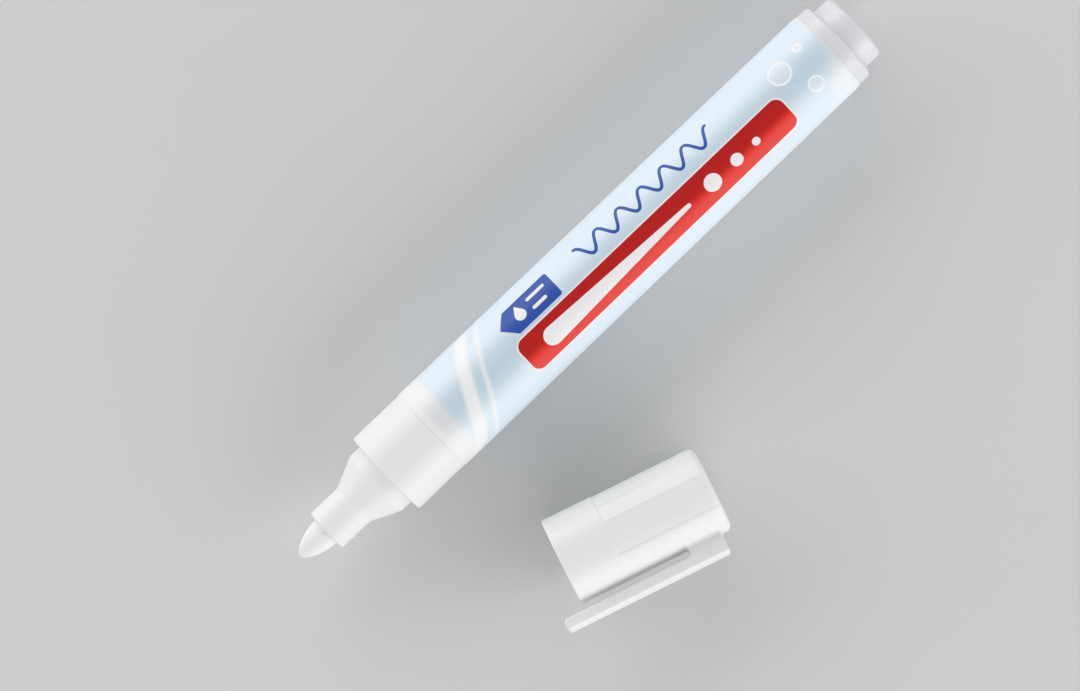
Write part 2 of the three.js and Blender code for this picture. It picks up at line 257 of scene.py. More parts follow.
def mesh_object(name, vertices, faces):
    """An object with smooth faces and crisp folds, its vertices in the row frame."""
    mesh = bpy.data.meshes.new(name)
    mesh.from_pydata(vertices, [], faces)
    work = bmesh.new()
    work.from_mesh(mesh)
    bmesh.ops.remove_doubles(work, verts=work.verts, dist=WELD_DISTANCE * MM)
    bmesh.ops.recalc_face_normals(work, faces=work.faces)
    work.to_mesh(mesh)
    work.free()
    mesh.shade_smooth()
    mesh.set_sharp_from_angle(angle=CREASE)
    piece = bpy.data.objects.new(name, mesh)
    bpy.context.scene.collection.objects.link(piece)
    return piece


def grid_faces(columns, rows, columns_close, rows_close):
    """Quads between neighbouring columns and rows of a grid of points."""
    faces = []
    for i in range(columns if columns_close else columns - 1):
        j = (i + 1) % columns
        for row in range(rows if rows_close else rows - 1):
            below = (row + 1) % rows
            faces.append((i * rows + row, j * rows + row, j * rows + below, i * rows + below))
    return faces


def round_the_axis(columns, angles, place):
    """The vertices of columns of outline points, each column at its angle from +Z towards +Y."""
    return [
        place @ Vector((point.real, point.imag * math.sin(angle), point.imag * math.cos(angle)))
        for column, angle in zip(columns, angles)
        for point in column
    ]


def turned(name, columns, angles, place):
    """A closed piece round an axis, from one outline for each angle."""
    rows = len(columns[0])
    on_axis = columns[0][0].imag == 0
    vertices = round_the_axis(columns, angles, place)
    return mesh_object(name, vertices, grid_faces(len(columns), rows, True, not on_axis))


def lathed(name, corners, place):
    """A closed piece of the same outline all round."""
    return turned(name, [outline(corners)] * SIDES, even_angles(), place)


# The marker's pieces

def make_nib():
    """A bullet point of bonded fibre, its surface slightly uneven."""
    high = extent("nib", marker_place)[1]
    radius = high.z
    point = []
    for i in range(NIB_POINT_STEPS + 1):
        share = (i / NIB_POINT_STEPS) ** 2
        point.append((share * NIB_POINT_LENGTH, radius * (1 - (1 - share) ** 2) ** NIB_POINT_POWER))
    socket_front = high.x - NIB_SOCKET_DEPTH
    corners = [
        *point,
        (high.x, radius, NIB_REAR_EDGE),
        (high.x, NIB_SOCKET_RADIUS),
        (socket_front, NIB_SOCKET_RADIUS),
        (socket_front, 0),
    ]
    plain = outline(corners)
    columns = []
    for angle in even_angles():
        column = []
        for x, r in ((p.real, p.imag) for p in plain):
            grain = Vector((x * FIBRE_SQUEEZE, r * math.sin(angle), r * math.cos(angle))) / FIBRE_SIZE
            depth = FIBRE_RELIEF * (0.5 + 0.5 * noise.noise(grain)) * min(1, r / RELIEF_START)
            column.append(complex(x + RELIEF_SLIDE * depth, r - depth))
        columns.append(column)
    return turned("fibre_nib", columns, even_angles(), marker_place)


def front_section_outline(bore):
    """The nose's outline, with the nozzle's bore as it is at one angle."""
    low, high = extent("front_section", marker_place)
    cone_front = low.x + NOZZLE_LENGTH
    collar_front = cone_front + CONE_LENGTH
    barrel_front = extent("barrel", marker_place)[0].x
    flange_rear = barrel_front + SECTION_FLANGE_LENGTH
    stop_front = extent("nib", marker_place)[1].x + FACE_GAP
    stop_rear = stop_front + NIB_STOP_LENGTH
    hollow_front = max(stop_rear, collar_front) + HOLLOW_TAPER
    return outline([
        (low.x, bore),
        (low.x, NOZZLE_RADIUS, NOZZLE_EDGE),
        (cone_front, NOZZLE_RADIUS, NOZZLE_FILLET),
        (collar_front, COLLAR_RADIUS, COLLAR_FILLET),
        (barrel_front, COLLAR_RADIUS, FINE_EDGE),
        (barrel_front, high.z, SMALL_EDGE),
        (flange_rear, high.z),
        (flange_rear, SKIRT_RADIUS),
        (high.x, SKIRT_RADIUS),
        (high.x, SKIRT_BORE),
        (hollow_front, SKIRT_BORE),
        (stop_rear, NOZZLE_BORE),
        (stop_rear, NIB_STOP_OPENING),
        (stop_front, NIB_STOP_OPENING),
        (stop_front, bore),
    ])


def make_front_section():
    """Nozzle, cone and collar, with grooves in the bore that let air back in beside the nib."""
    edge = math.asin(AIR_GROOVE_WIDTH / 2 / NOZZLE_BORE)
    inside = edge * GROOVE_FLOOR
    centres = [2 * math.pi * i / AIR_GROOVES for i in range(AIR_GROOVES)]
    angles = set(even_angles())
    for centre in centres:
        clearing = edge * GROOVE_CLEARING
        angles -= {a for a in angles if abs(math.remainder(a - centre, 2 * math.pi)) < clearing}
        angles |= {(centre + share * edge) % (2 * math.pi) for share in (-1, 1)}
        angles |= {(centre + share * inside) % (2 * math.pi) for share in (-1, -0.5, 0, 0.5, 1)}
    angles = sorted(angles)
    plain, grooved = front_section_outline(NOZZLE_BORE), front_section_outline(AIR_GROOVE_RADIUS)
    columns = []
    for angle in angles:
        nearest = min(abs(math.remainder(angle - centre, 2 * math.pi)) for centre in centres)
        columns.append(grooved if nearest < (edge + inside) / 2 else plain)
    return turned("nose_moulding", columns, angles, marker_place)


def make_barrel():
    low, high = extent("barrel", marker_place)
    seat_rear = low.x + BARREL_SEAT_LENGTH
    return lathed("barrel_tube", [
        (low.x, BARREL_SEAT_RADIUS, FINE_EDGE),
        (low.x, high.z, BARREL_EDGE),
        (high.x, BARREL_REAR_RADIUS, CRISP_EDGE),
        (high.x, BARREL_BORE),
        (seat_rear, BARREL_BORE),
        (seat_rear, BARREL_SEAT_RADIUS),
    ], marker_place)


def barrel_radius(x):
    low, high = extent("barrel", marker_place)
    return high.z + (BARREL_REAR_RADIUS - high.z) * (x - low.x) / (high.x - low.x)


def make_film():
    """A printed film wrapped once round the barrel and a little over its own end."""
    low, high = extent("label_wrap", marker_place)
    front, rear = barrel_radius(low.x), barrel_radius(high.x)
    turn = 2 * math.pi + FILM_OVERLAP
    angles, columns = [], []
    for i in range(FILM_STEPS + 1):
        angle = turn * i / FILM_STEPS
        climb = min(1, max(0, (angle - FILM_OVERLAP) / FILM_RAMP))
        inside = FILM_GAP + FILM_LAYER * climb * climb * (3 - 2 * climb)
        outside = inside + FILM_THICKNESS
        corners = [
            (low.x, front + inside),
            (low.x, front + outside),
            (high.x, rear + outside),
            (high.x, rear + inside),
        ]
        angles.append(FILM_SEAM + angle)
        columns.append(outline(corners))
    rows = len(columns[0])
    faces = grid_faces(len(columns), rows, False, True)
    faces.append(tuple(range(rows)))
    faces.append(tuple(range(FILM_STEPS * rows, (FILM_STEPS + 1) * rows)))
    return mesh_object("printed_film", round_the_axis(columns, angles, marker_place), faces)


def gate_dimple(end):
    """The first corners of an outline whose end, along the axis, has a mould's dimple in its middle."""
    return [
        (end - GATE_DEPTH, 0),
        (end - GATE_DEPTH, GATE_RADIUS - GATE_SLOPE, GATE_FLOOR_EDGE),
        (end, GATE_RADIUS, SMALL_EDGE),
    ]


def make_tail_plug():
    """A spigot with two sealing beads, a flange on the barrel's end, and a stub to park the cap on."""
    low, high = extent("tail_plug", marker_place)
    barrel_rear = extent("barrel", marker_place)[1].x
    flange_front = barrel_rear + PARTING
    flange_rear = high.x - PLUG_STUB_LENGTH
    bead_spacing = (barrel_rear - low.x) / 3
    beads = []
    for i in (2, 1):
        front = low.x + i * bead_spacing
        rear = front + PLUG_BEAD_LENGTH
        beads += [
            (rear, PLUG_NECK),
            (rear, PLUG_SPIGOT_RADIUS, PLUG_BEAD_EDGE),
            (front, PLUG_SPIGOT_RADIUS, PLUG_BEAD_EDGE),
            (front, PLUG_NECK),
        ]
    return lathed("tail_stopper", [
        *gate_dimple(high.x),
        (high.x, PLUG_STUB_RADIUS, PLUG_EDGE),
        (flange_rear, PLUG_STUB_RADIUS, SMALL_EDGE),
        (flange_rear, high.z, PLUG_EDGE),
        (flange_front, high.z, CRISP_EDGE),
        (flange_front, PLUG_NECK),
        *beads,
        (low.x, PLUG_NECK, SOFT_EDGE),
        (low.x, PLUG_HOLLOW),
        (high.x - PLUG_END_WALL, PLUG_HOLLOW),
        (high.x - PLUG_END_WALL, 0),
    ], marker_place)


# The cap's pieces

def eased(share):
    """0 below 0, 1 above 1, and a smooth rise between them."""
    share = min(1, max(0, share))
    return share * share * (3 - 2 * share)


def sunk(angle):
    """How deep the cup's wall is sunk at an angle: 0 on the plain wall, 1 in a panel."""
    off_group = math.remainder(angle, math.pi)
    group_half = SIDE_PANELS * PANEL_PITCH / 2
    if abs(off_group) > group_half and math.sin(angle) < 0:
        return 0.0
    share = 1.0
    for i in range(SIDE_PANELS + 1):
        away = CAP_END_RADIUS * abs(off_group + group_half - i * PANEL_PITCH)
        height = 1.0 if i in (0, SIDE_PANELS) else LOW_RIDGE
        share -= height * (1 - eased(away / RIDGE_REACH))
    return share


def cup_angles():
    """Angles round the cap, close together at every ridge."""
    reach = RIDGE_REACH / CAP_END_RADIUS
    ridges = [
        side + (i - SIDE_PANELS / 2) * PANEL_PITCH
        for side in (0, math.pi)
        for i in range(SIDE_PANELS + 1)
    ]
    angles = []
    for ridge, after in zip(ridges, [*ridges[1:], ridges[0] + 2 * math.pi]):
        angles += [ridge + reach * i / 4 for i in range(-4, 5)]
        between = after - ridge - 2 * reach
        steps = math.ceil(between / PANEL_STEP)
        angles += [ridge + reach + between * i / steps for i in range(1, steps)]
    return angles


def plain_wall(x, length, rim_radius):
    """Radius of the cup's side, which tapers from its rim to its closed end."""
    return rim_radius + (CAP_END_RADIUS - rim_radius) * x / length


def cup_outline(angle, length, rim_radius):
    """The cup's outline at one angle, from the middle of its closed end round its rim to its floor."""
    panel_front = length - PANEL_LENGTH
    depth_share = sunk(angle)

    def wall(x):
        plain = plain_wall(x, length, rim_radius)
        depth = plain - (CAP_END_RADIUS - PANEL_DEPTH)
        return plain - depth * depth_share * eased((x - panel_front) / PANEL_FRONT)

    front_end = [panel_front + PANEL_FRONT * share for share in (1, 0.75, 0.5, 0.25, 0)]
    return outline([
        *gate_dimple(length),
        (length, wall(length), CAP_END_EDGE),
        *((x, wall(x)) for x in front_end),
        (0, rim_radius, CAP_RIM_EDGE),
        (0, CAP_BORE, CAP_RIM_EDGE),
        (length - CAP_END_WALL, CAP_BORE, SOFT_EDGE),
        (length - CAP_END_WALL, 0),
    ])


def make_cup():
    high = extent("cap_shell", cap_place)[1]
    angles = cup_angles()
    columns = [cup_outline(angle, high.x, high.z) for angle in angles]
    return turned("cap_cup", columns, angles, cap_place)


def make_inner_cap():
    low, high = extent("inner_cap", cap_place)
    floor = high.x - INNER_CAP_BASE
    return lathed("cap_liner", [
        (high.x, 0),
        (high.x, high.z, INNER_CAP_EDGE),
        (floor, high.z, INNER_CAP_EDGE),
        (floor, INNER_CAP_OUTSIDE),
        (low.x, INNER_CAP_OUTSIDE, INNER_CAP_MOUTH_EDGE),
        (low.x, INNER_CAP_BORE + INNER_CAP_LEAD_IN, LEAD_IN_EDGE),
        (low.x + INNER_CAP_LEAD_IN, INNER_CAP_BORE, LEAD_IN_EDGE),
        (floor, INNER_CAP_BORE, SOFT_EDGE),
        (floor, 0),
    ], cap_place)


def drawn_in(points, amount):
    """A closed outline, drawn in by an amount. The outline runs counter-clockwise."""
    moved = []
    for i, point in enumerate(points):
        back = point - points[i - 1]
        on = points[(i + 1) % len(points)] - point
        both = back / abs(back) + on / abs(on)
        moved.append(point + 1j * both / abs(both) * 2 * amount / abs(both))
    return moved


def rounded_slab(points, width):
    """Vertices and faces of an outline given a width along Z, its long edges rounded."""
    area = sum((a.conjugate() * b).imag for a, b in zip(points, points[1:] + points[:1]))
    if area < 0:
        points = points[::-1]
    levels = [(CLIP_EDGE + SUPPORT, width / 2)]
    for i in range(ARC_STEPS + 1):
        lean = math.pi / 2 * (1 - i / ARC_STEPS)
        inset = CLIP_EDGE * (1 - math.cos(lean))
        levels.append((inset, width / 2 - CLIP_EDGE + CLIP_EDGE * math.sin(lean)))
    levels += [(inset, -z) for inset, z in reversed(levels)]
    vertices = []
    for inset, z in levels:
        vertices += [cap_place @ Vector((p.real, p.imag, z)) for p in drawn_in(points, inset)]
    rows = len(points)
    faces = grid_faces(len(levels), rows, False, True)
    faces.append(tuple(range(rows)))
    faces.append(tuple(range((len(levels) - 1) * rows, len(levels) * rows)))
    return vertices, faces


def root_fillet(front, rear, half_width):
    """Vertices and faces of a hollow fillet all round the block, where it grows out of the cap's wall."""
    high = extent("cap_shell", cap_place)[1]
    path = outline([
        (front, -half_width, CLIP_EDGE),
        (rear, -half_width, CLIP_EDGE),
        (rear, half_width, CLIP_EDGE),
        (front, half_width, CLIP_EDGE),
    ])
    vertices = []
    for i, point in enumerate(path):
        along = path[(i + 1) % len(path)] - path[i - 1]
        outward = -1j * along / abs(along)
        section = []
        for step in range(ARC_STEPS + 1):
            lean = math.pi / 2 * step / ARC_STEPS
            section.append((BLOCK_FILLET * (1 - math.sin(lean)), BLOCK_FILLET * (1 - math.cos(lean))))
        section += [
            (-FILLET_OVERLAP, BLOCK_FILLET),
            (-FILLET_OVERLAP, -FILLET_SINK),
            (BLOCK_FILLET, -FILLET_SINK),
        ]
        for away, above in section:
            foot = point + outward * away
            wall_radius = plain_wall(foot.real, high.x, high.z)
            wall = math.sqrt(wall_radius**2 - foot.imag**2)
            vertices.append(cap_place @ Vector((foot.real, -wall - above, foot.imag)))
    rows = len(vertices) // len(path)
    return vertices, grid_faces(len(path), rows, True, True)


def make_clip():
    """A flat arm, the web at its root and the fillet round the web, as one moulding."""
    arm_low, arm_high = extent("cap_clip", cap_place)
    cap_length = extent("cap_shell", cap_place)[1].x
    block_rear = cap_length - BLOCK_END_MARGIN
    block_front = block_rear - BLOCK_LENGTH
    inside_wall = -(CAP_END_RADIUS - BLOCK_ROOT)
    width = arm_high.z - arm_low.z
    arm = outline([
        (block_rear, inside_wall, CLIP_CORNER),
        (block_rear, arm_low.y, CLIP_CORNER),
        (arm_low.x, arm_low.y, CLIP_CORNER),
        (arm_low.x, arm_high.y, CLIP_TIP_ROUNDING),
        (block_front, arm_high.y, CLIP_SLOT_ROUNDING),
        (block_front, inside_wall, CLIP_CORNER),
    ])
    vertices, faces = rounded_slab(arm, width)
    more, more_faces = root_fillet(block_front, block_rear, width / 2)
    faces += [tuple(i + len(vertices) for i in face) for face in more_faces]
    return mesh_object("pocket_clip", vertices + more, faces), block_front


# Materials

class Field:
    """A number that varies over a surface, worked out by shader nodes."""

    def __init__(self, tree, socket):
        self.tree = tree
        self.socket = socket

    def work_out(self, operation, *values, clamp=False):
        node = self.tree.nodes.new("ShaderNodeMath")
        node.operation = operation
        node.use_clamp = clamp
        for entry, value in zip(node.inputs, values):
            join(self.tree, value, entry)
        return Field(self.tree, node.outputs[0])

    def __add__(self, other):
        return self.work_out("ADD", self, other)

    def __radd__(self, other):
        return self.work_out("ADD", other, self)

    def __sub__(self, other):
        return self.work_out("SUBTRACT", self, other)

    def __rsub__(self, other):
        return self.work_out("SUBTRACT", other, self)

    def __mul__(self, other):
        return self.work_out("MULTIPLY", self, other)

    def __truediv__(self, other):
        return self.work_out("DIVIDE", self, other)

    def __abs__(self):
        return self.work_out("ABSOLUTE", self)

    def root(self):
        return self.work_out("SQRT", self)

    def sine(self):
        return self.work_out("SINE", self)

    def cosine(self):
        return self.work_out("COSINE", self)

    def lower(self, other):
        return self.work_out("MINIMUM", self, other)

    def higher(self, other):
        return self.work_out("MAXIMUM", self, other)

    def clamped(self):
        return self.work_out("ADD", self, 0.0, clamp=True)

    def eased(self):
        """0 below 0, 1 above 1, and a smooth rise between them."""
        share = self.clamped()
        return share * share * (3.0 - share * 2.0)


def join(tree, value, entry):
    """Links a field or a socket to an entry, or sets the entry to a number or a colour."""
    if isinstance(value, Field):
        tree.links.new(value.socket, entry)
    elif isinstance(value, bpy.types.NodeSocket):
        tree.links.new(value, entry)
    else:
        entry.default_value = value


class Finish:
    """A material in the making, with places in millimetres in the row frame."""

    def __init__(self, name):
        self.material = bpy.data.materials.new(name)
        self.material.use_nodes = True
        self.tree = self.material.node_tree
        self.shader = self.tree.nodes["Principled BSDF"]
        coordinates = self.tree.nodes.new("ShaderNodeTexCoord")
        scaled = self.tree.nodes.new("ShaderNodeVectorMath")
        scaled.operation = "SCALE"
        scaled.inputs["Scale"].default_value = 1 / MM
        self.tree.links.new(coordinates.outputs["Object"], scaled.inputs[0])
        self.place = scaled.outputs[0]

    def parts_of_place(self):
        split = self.tree.nodes.new("ShaderNodeSeparateXYZ")
        self.tree.links.new(self.place, split.inputs[0])
        return [Field(self.tree, output) for output in split.outputs]

    def grain(self, size, detail=2.0, along_x=1.0):
        """Noise with grains of a size in millimetres, drawn out along X if along_x is above 1."""
        stretched = self.tree.nodes.new("ShaderNodeVectorMath")
        stretched.operation = "MULTIPLY"
        stretched.inputs[1].default_value = (1 / (size * along_x), 1 / size, 1 / size)
        self.tree.links.new(self.place, stretched.inputs[0])
        node = self.tree.nodes.new("ShaderNodeTexNoise")
        node.inputs["Scale"].default_value = 1.0
        node.inputs["Detail"].default_value = detail
        self.tree.links.new(stretched.outputs[0], node.inputs["Vector"])
        return Field(self.tree, node.outputs[0])

    def mix(self, share, first, second):
        """The first colour where share is 0 and the second where it is 1."""
        node = self.tree.nodes.new("ShaderNodeMix")
        node.data_type = "RGBA"
        join(self.tree, share, node.inputs[0])
        for entry, colour in ((node.inputs[6], first), (node.inputs[7], second)):
            join(self.tree, (*colour, 1.0) if isinstance(colour, tuple) else colour, entry)
        return node.outputs[2]

    def relief(self, height, depth, under=None):
        """A bump of a depth in millimetres where height goes from 0 to 1."""
        node = self.tree.nodes.new("ShaderNodeBump")
        node.inputs["Distance"].default_value = depth * MM
        join(self.tree, height, node.inputs["Height"])
        if under is not None:
            self.tree.links.new(under, node.inputs["Normal"])
        return node.outputs[0]

    def done(self, colour, roughness, normal, **fixed):
        join(self.tree, colour, self.shader.inputs["Base Color"])
        join(self.tree, roughness, self.shader.inputs["Roughness"])
        join(self.tree, normal, self.shader.inputs["Normal"])
        for entry, value in fixed.items():
            self.shader.inputs[entry.replace("_", " ")].default_value = value
        return self.material


def white_plastic():
    """Smooth white moulding with a soft gloss, a faint unevenness and hardly visible flow marks."""
    finish = Finish("white_moulding")
    colour = finish.mix(finish.grain(7.0, 3.0), (0.84, 0.845, 0.83), (0.875, 0.88, 0.865))
    roughness = 0.33 + finish.grain(0.9, 4.0) * 0.12
    skin = finish.relief(finish.grain(0.14, 3.0), 0.004)
    waves = finish.relief(finish.grain(2.6, 1.0), 0.012, skin)
    return finish.done(colour, roughness, waves, IOR=1.49, Specular_IOR_Level=0.5)


def natural_plastic():
    """Cooler, milky plastic without dye, which lets a little light in."""
    finish = Finish("milky_moulding")
    colour = finish.mix(finish.grain(4.0, 3.0), (0.71, 0.715, 0.74), (0.765, 0.77, 0.795))
    roughness = 0.28 + finish.grain(0.7, 4.0) * 0.09
    skin = finish.relief(finish.grain(0.12, 3.0), 0.004)
    waves = finish.relief(finish.grain(2.2, 1.0), 0.014, skin)
    return finish.done(
        colour, roughness, waves,
        IOR=1.5, Specular_IOR_Level=0.7,
        Subsurface_Weight=0.12, Subsurface_Radius=(1.0, 1.0, 1.0), Subsurface_Scale=0.6 * MM,
    )


def inner_plastic():
    """Plain moulding that nobody sees, duller and with a coarser skin."""
    finish = Finish("plain_moulding")
    colour = finish.mix(finish.grain(3.0, 3.0), (0.64, 0.65, 0.67), (0.72, 0.73, 0.745))
    roughness = 0.5 + finish.grain(0.5, 4.0) * 0.15
    skin = finish.relief(finish.grain(0.2, 4.0), 0.01)
    return finish.done(colour, roughness, skin, IOR=1.49)


def nib_fibre():
    """Bonded fibres along the nib, soaked with white ink."""
    finish = Finish("bonded_fibre")
    fibres = finish.grain(0.09, 3.0, along_x=9.0)
    clumps = finish.grain(0.5, 3.0)
    shade = fibres * 0.65 + clumps * 0.35
    colour = finish.mix(((shade - 0.3) * 2.2).eased(), (0.83, 0.83, 0.825), (0.93, 0.93, 0.925))
    roughness = 0.62 + fibres * 0.22
    threads = finish.relief(fibres, 0.03)
    lumps = finish.relief(clumps, 0.03, threads)
    return finish.done(
        colour, roughness, lumps,
        IOR=1.45, Subsurface_Weight=0.1, Subsurface_Radius=(1.0, 1.0, 1.0), Subsurface_Scale=0.3 * MM,
    )


# The print on the film, with painted light and shade in its wash, its white start and its red stripe, where u runs
# along the marker from its tip and v runs round it from the top
WHITE_INK = (0.88, 0.885, 0.885)
# painted shade: a shaded copy of the white, laid along the top of the unprinted start and the pale end
SHADED_MIDDLE_WHITE = (0.77, 0.77, 0.80)
# a lit and a shaded copy of the wash: its deeper middle along the top is partly print and partly painted shade
LIT_SIDE_BLUE = (0.75, 0.85, 0.93)
SHADED_MIDDLE_BLUE = (0.57, 0.71, 0.805)
# painted light and shade: a shaded and a lit copy of the stripe's red, darker along the top and lighter towards
# the sides where the light falls
SHADED_RED = (0.5, 0.003, 0.001)
LIT_RED = (0.8, 0.016, 0.004)
BLUE_INK = (0.018, 0.08, 0.4)
PRINT_EDGE = 0.07  # over which one colour goes into the next
MIDDLE_WIDTH = 4.2  # of the deeper middle along the top, partly a printed deeper blue and partly painted shade
MIDDLE_V = 0.2
MIDDLE_FLAT = 0.1  # share of its width over which it stays deep
CLOUD_SIZE = 9.0
CLOUD_SHARE = 0.5  # how far clouds move the edge of the deeper blue, as a share of its width

WASH = (33.7, 35.4)  # from u to u, over which the white start goes into the blue wash
WASH_WANDER = 1.2  # how far clouds move the start of the wash
SHADE_START = (30.7, 32.4)  # from u to u, over which the white start gets its painted shade along the middle
RED_LIGHT_AND_SHADE = (2.0, 3.6)  # how far round from the top the stripe goes from painted shade in deep red to painted light in bright red
STRIPE = (50.0, 110.0, -6.0, 0.6)  # from u to u, from v to v
STRIPE_ROUNDING = 1.7
STRIPE_BORDER = 0.28
WEDGE = (56.0, 1.75, 87.0, 0.4)  # from u and half its width there, to u and half its width
DOTS = ((92.5, 1.6), (98.0, 1.15), (102.4, 0.75))  # u and radius
WAVE = (68.0, 98.0, 4.3)  # from u to u, at v
WAVE_HEIGHT = 1.55
WAVE_LENGTH = 5.0
WAVE_STROKE = 0.3  # half its width
TAG = (50.0, 62.0, 1.4, 6.7)
TAG_POINT = 2.2
TAG_ROUNDING = 0.5
DROP = (54.4, 3.8, 1.05, 2.0)  # u, v, radius and height of its tip
DROP_TIP = 0.05
TAG_LINES = ((56.9, 60.3, 5.05), (56.9, 59.4, 3.05))  # from u to u, at v
TAG_LINE_STROKE = 0.32
GLEAM_WHITE = (0.93, 0.935, 0.94)
RINGS = ((112.9, 3.0, 2.0), (116.2, -2.7, 1.3), (117.9, 4.3, 0.7))  # u, v and radius
RING_STROKE = 0.2  # half its width
RING_FILL = 0.3
GLEAMS = ((39.4, 1.3), (43.1, 0.35))  # u at the top, and half the width
GLEAM_SLANT = -0.5
GLEAM_EDGE = 0.9
GLEAM_SHARE = 0.9
FRONT_END = (9.5, 12.5)  # how far round from the top the gleams and the pale end run out
PALE_END = (119.6, 121.4)  # slanted u over which the wash gets paler again
PALE_SHARE = 0.55


def ink(distance, edge=PRINT_EDGE):
    """1 where the distance to a shape is below 0, which is inside it, and 0 outside."""
    return (0.5 - distance / edge).clamped()


def rise(value, stretch_of_it):
    """0 before a stretch of a value, 1 past it, and a smooth rise inside it."""
    start, end = stretch_of_it
    return ((value - start) / (end - start)).eased()


def to_box(u, v, box, rounding):
    """Distance to a rounded rectangle from u to u and from v to v."""
    left, right, low, high = box
    across = abs(u - (left + right) / 2) - ((right - left) / 2 - rounding)
    up = abs(v - (low + high) / 2) - ((high - low) / 2 - rounding)
    across, up = across.higher(0.0), up.higher(0.0)
    return (across * across + up * up).root() - rounding


def to_stroke(u, v, start, end, start_radius, end_radius):
    """Distance to a straight stroke with round ends, which may widen or narrow on its way."""
    length = math.dist(start, end)
    step_u, step_v = (end[0] - start[0]) / length, (end[1] - start[1]) / length
    from_u, from_v = u - start[0], v - start[1]
    along = from_u * step_u + from_v * step_v
    off = abs(from_v * step_u - from_u * step_v)
    lean = math.asin((start_radius - end_radius) / length)
    share = ((along - off * math.tan(lean)) / length).clamped()
    rest = along - share * length
    radius = start_radius + share * (end_radius - start_radius)
    return (rest * rest + off * off).root() - radius


def to_dot(u, v, centre, radius):
    off_u, off_v = u - centre[0], v - centre[1]
    return (off_u * off_u + off_v * off_v).root() - radius


def to_wave(u, v):
    """Distance to a line that swings up and down like a practice stroke, from a crest to a crest."""
    start, end, middle = WAVE
    turns = 2 * math.pi / WAVE_LENGTH
    phase = (u - start) * turns
    slope = phase.sine() * (WAVE_HEIGHT * turns)
    line = abs(v - middle - phase.cosine() * WAVE_HEIGHT) / (1.0 + slope * slope).root() - WAVE_STROKE
    cut = line.higher(abs(u - (start + end) / 2) - (end - start) / 2)
    for u_end in (start, end):
        v_end = middle + WAVE_HEIGHT * math.cos((u_end - start) * turns)
        cut = cut.lower(to_dot(u, v, (u_end, v_end), WAVE_STROKE))
    return cut


def to_tag(u, v):
    """Distance to a tag that is pointed towards the nib."""
    left, low, high = TAG[0], TAG[2], TAG[3]
    middle = (low + high) / 2
    body = to_box(u, v, TAG, TAG_ROUNDING)
    half = (high - low) / 2
    point = (left + abs(v - middle) * (TAG_POINT / half) - u) * (half / math.hypot(half, TAG_POINT))
    return body.higher(point)


def label_film():
    """Glossy film with a pale blue wash, a red stripe, a wave, a tag, rings and two gleams. Its white start
    carries painted shade along the top, its wash a deeper middle that is partly print and partly painted shade,
    and its red stripe painted light and shade.
    """
    finish = Finish("glossy_print_painted_shade")
    x, y, z = finish.parts_of_place()
    u = x - nib_tip.x / MM
    angle = x.work_out("ARCTAN2", y - nib_tip.y / MM, z - nib_tip.z / MM)
    v = angle * extent("label_wrap", marker_place)[1].z

    cloud = finish.grain(CLOUD_SIZE) - 0.5
    # share of the middle along the top: in the wash partly print and partly painted shade, in the white painted
    # shade
    middle = 1.0 - (abs(v - MIDDLE_V) / MIDDLE_WIDTH - MIDDLE_FLAT + cloud * CLOUD_SHARE).eased()
    wash = finish.mix(middle, LIT_SIDE_BLUE, SHADED_MIDDLE_BLUE)
    # the unprinted white, with painted shade along its middle
    shaded_bare_white = finish.mix(middle * rise(u, SHADE_START), WHITE_INK, SHADED_MIDDLE_WHITE)
    colour = finish.mix(rise(u + cloud * WASH_WANDER, WASH), shaded_bare_white, wash)

    near_front = 1.0 - rise(abs(v), FRONT_END)
    slanted = u + v * GLEAM_SLANT
    colour = finish.mix(rise(slanted, PALE_END) * near_front * PALE_SHARE, colour, shaded_bare_white)
    for place, half in GLEAMS:
        gleam = ink(abs(slanted - place) - half, GLEAM_EDGE) * near_front
        colour = finish.mix(gleam * GLEAM_SHARE, colour, GLEAM_WHITE)
    for ring_u, ring_v, radius in RINGS:
        from_edge = to_dot(u, v, (ring_u, ring_v), radius)
        colour = finish.mix(ink(from_edge) * RING_FILL, colour, GLEAM_WHITE)
        colour = finish.mix(ink(abs(from_edge) - RING_STROKE), colour, GLEAM_WHITE)

    stripe = to_box(u, v, STRIPE, STRIPE_ROUNDING)
    colour = finish.mix(ink(stripe - STRIPE_BORDER), colour, WHITE_INK)
    # painted shade along the top of the stripe and painted light towards its sides
    red = finish.mix(rise(abs(v), RED_LIGHT_AND_SHADE), SHADED_RED, LIT_RED)
    colour = finish.mix(ink(stripe), colour, red)
    stripe_middle = (STRIPE[2] + STRIPE[3]) / 2
    front, front_half, rear, rear_half = WEDGE
    motif = to_stroke(u, v, (front, stripe_middle), (rear, stripe_middle), front_half, rear_half)
    for place, radius in DOTS:
        motif = motif.lower(to_dot(u, v, (place, stripe_middle), radius))
    colour = finish.mix(ink(motif), colour, WHITE_INK)

    colour = finish.mix(ink(to_wave(u, v)), colour, BLUE_INK)
    colour = finish.mix(ink(to_tag(u, v)), colour, BLUE_INK)
    drop_u, drop_v, radius, tip = DROP
    sign = to_stroke(u, v, (drop_u, drop_v), (drop_u, drop_v + tip), radius, DROP_TIP)
    for start, end, line_v in TAG_LINES:
        line = to_stroke(u, v, (start, line_v), (end, line_v), TAG_LINE_STROKE, TAG_LINE_STROKE)
        sign = sign.lower(line)
    colour = finish.mix(ink(sign), colour, WHITE_INK)

    roughness = 0.28 + finish.grain(2.4, 2.0) * 0.06
    waves = finish.relief(finish.grain(3.2, 1.0, along_x=2.5), 0.016)
    return finish.done(colour, roughness, waves, IOR=1.5, Specular_IOR_Level=0.38)


def floor_finish():
    finish = Finish("pale_floor")
    colour = finish.mix(finish.grain(40.0, 2.0), (0.67, 0.675, 0.68), (0.69, 0.695, 0.70))
    roughness = 0.8 + finish.grain(5.0, 2.0) * 0.1
    return finish.done(colour, roughness, finish.relief(finish.grain(1.0), 0.005))


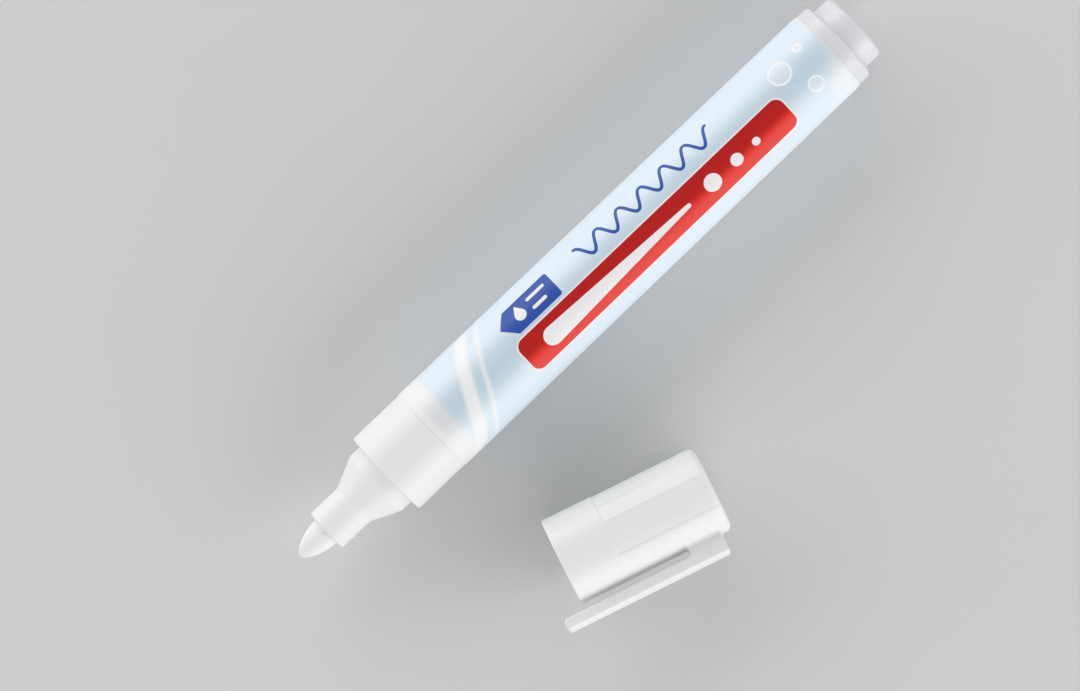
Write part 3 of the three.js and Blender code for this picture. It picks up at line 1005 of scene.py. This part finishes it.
def dress(piece, material, body, node):
    """Gives a piece its finish, and sets it in the place of its CAD node."""
    piece.data.materials.append(material)
    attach(piece, body)
    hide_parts(node)


white, milky = white_plastic(), natural_plastic()
plain, fibre = inner_plastic(), nib_fibre()
dress(make_nib(), fibre, "marker", "nib")
dress(make_front_section(), white, "marker", "front_section")
dress(make_barrel(), white, "marker", "barrel")
dress(make_film(), label_film(), "marker", "label_wrap")
dress(make_tail_plug(), milky, "marker", "tail_plug")
dress(make_cup(), white, "cap", "cap_shell")
dress(make_inner_cap(), plain, "cap", "inner_cap")
for node, material in (("feed_wick", fibre), ("ink_regulator", plain)):
    frame["nodes"][node].material_slots[0].material = material

# The clip, root and arm as one piece, its vertices moved into the row frame
clip, bend_start = make_clip()
clip.data.materials.append(white)
arm_side = extent("cap_clip", cap_place)[1].y
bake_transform(clip)
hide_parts("cap_clip")


# Floor, light and camera, in metres
FLOOR_SIZE = 8.0
FLOOR_DROP = 0.00005  # below the object, so that nothing shares its plane
LAMP_DISTANCE = 1.1
LAMP_LENGTH = 3.0
LAMP_HEIGHT = 0.9
BACK_POWER = 15.0
FRONT_POWER = 16.0
WORLD_STRENGTH = 0.52
IMAGE_TURN = math.radians(43.72)  # from the marker's axis to the picture's horizontal
AIM_AHEAD = 0.05319  # from the nib's tip along the marker
AIM_ASIDE = -0.00229
CAMERA_DISTANCE = 1.0
LENS = 200.0


def make_floor():
    half = FLOOR_SIZE / 2
    corners = [(-half, -half), (half, -half), (half, half), (-half, half)]
    floor = mesh_object("floor", [(x, y, -FLOOR_DROP) for x, y in corners], [(0, 1, 2, 3)])
    floor.data.materials.append(floor_finish())


def make_lamp(name, side, power):
    """A long softbox that stands on the floor at one side of the marker."""
    lamp = bpy.data.lights.new(name, "AREA")
    lamp.shape = "RECTANGLE"
    lamp.size, lamp.size_y = LAMP_LENGTH, LAMP_HEIGHT
    lamp.energy = power
    box = bpy.data.objects.new(name, lamp)
    box.location = (0, side * LAMP_DISTANCE, LAMP_HEIGHT / 2)
    box.rotation_euler = Vector((0, -side, 0)).to_track_quat("-Z", "Z").to_euler()
    box.visible_camera = False
    bpy.context.scene.collection.objects.link(box)


def make_world():
    world = bpy.data.worlds.new("studio")
    world.use_nodes = True
    background = world.node_tree.nodes["Background"]
    background.inputs["Color"].default_value = (1, 1, 1, 1)
    background.inputs["Strength"].default_value = WORLD_STRENGTH
    bpy.context.scene.world = world


def make_camera():
    """Looks straight down, turned so that the marker runs from the lower left to the upper right."""
    lens = bpy.data.cameras.new("camera")
    lens.lens = LENS
    camera = bpy.data.objects.new("camera", lens)
    camera.location = nib_tip + Vector((AIM_AHEAD, AIM_ASIDE, CAMERA_DISTANCE))
    camera.rotation_euler = (0, 0, -IMAGE_TURN)
    bpy.context.scene.collection.objects.link(camera)
    bpy.context.scene.camera = camera


make_floor()
make_lamp("softbox_back", 1, BACK_POWER)
make_lamp("softbox_front", -1, FRONT_POWER)
make_world()
make_camera()
bpy.context.scene.view_settings.view_transform = "Standard"
